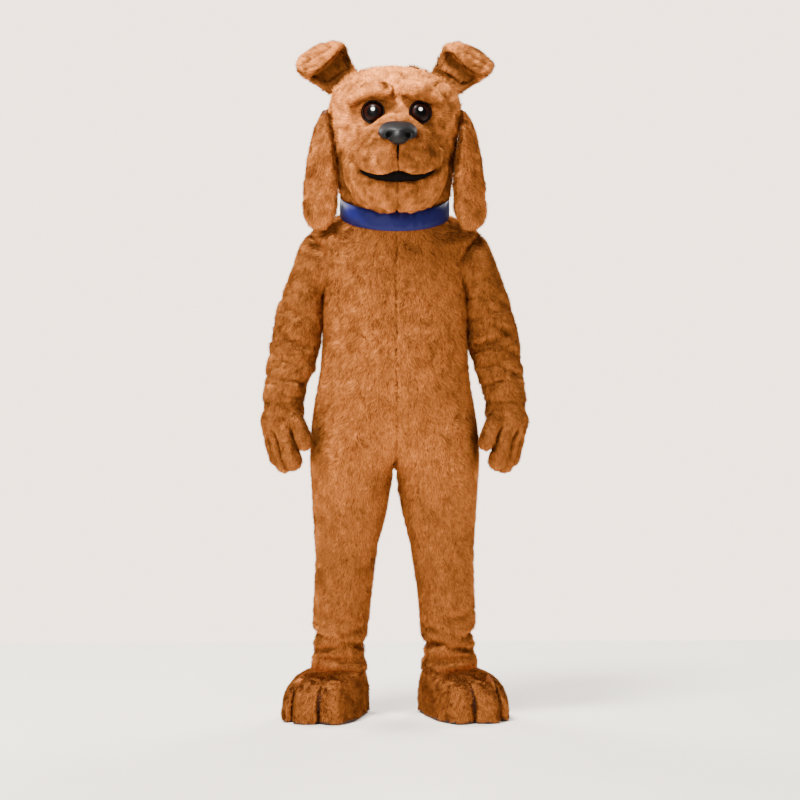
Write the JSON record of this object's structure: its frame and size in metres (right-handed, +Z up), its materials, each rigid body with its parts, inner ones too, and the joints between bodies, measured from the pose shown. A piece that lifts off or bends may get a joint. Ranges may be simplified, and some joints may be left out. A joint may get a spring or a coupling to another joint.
{
  "type": "dog mascot costume",
  "caption": "Full-body plush dog mascot costume: hollow head with folded and hanging ears, satin collar, suit with sleeves and legs, gloves and padded feet, standing as worn.",
  "frame": {"origin": "between the shoulders, level with the shoulder line, where the wearer holds the costume up", "axes": "+Z up from the soles to the ears, -Y the way the costume faces, +X to the costume's own left side"},
  "size_m": [0.7898, 0.5514, 1.9985],
  "materials": {
    "plush": "short golden-brown pile",
    "ear_lining": "darker short pile",
    "collar_satin": "satin",
    "mouth_cloth": "matt",
    "nose_moulding": "satin",
    "eye_glass": "gloss",
    "eye_rim": "gloss",
    "sole_rubber": "matt"
  },
  "bodies": {
    "root": {"head_face": "plush", "head_side_left": "plush", "head_side_right": "plush", "muzzle_upper_left": "plush", "muzzle_upper_right": "plush", "muzzle_lower_left": "plush", "muzzle_lower_right": "plush", "lip_line": "mouth_cloth", "mouth_lining": "mouth_cloth", "nose": "nose_moulding", "eye_left": "eye_glass", "eye_right": "eye_glass", "eye_rim_left": "eye_rim", "eye_rim_right": "eye_rim", "brow_left": "plush", "brow_right": "plush", "ear_top_left": "plush", "ear_top_right": "plush", "ear_top_lining_left": "ear_lining", "ear_top_lining_right": "ear_lining", "ear_side_outer_left": "plush", "ear_side_outer_right": "plush", "ear_side_inner_left": "plush", "ear_side_inner_right": "plush", "collar": "collar_satin", "suit_front_left": "plush", "suit_front_right": "plush", "suit_back_left": "plush", "suit_back_right": "plush", "sleeve_left": "plush", "sleeve_right": "plush", "glove_left": "plush", "glove_right": "plush", "foot_left": "plush", "foot_right": "plush", "sole_left": "sole_rubber", "sole_right": "sole_rubber"}
  },
  "joints": []
}
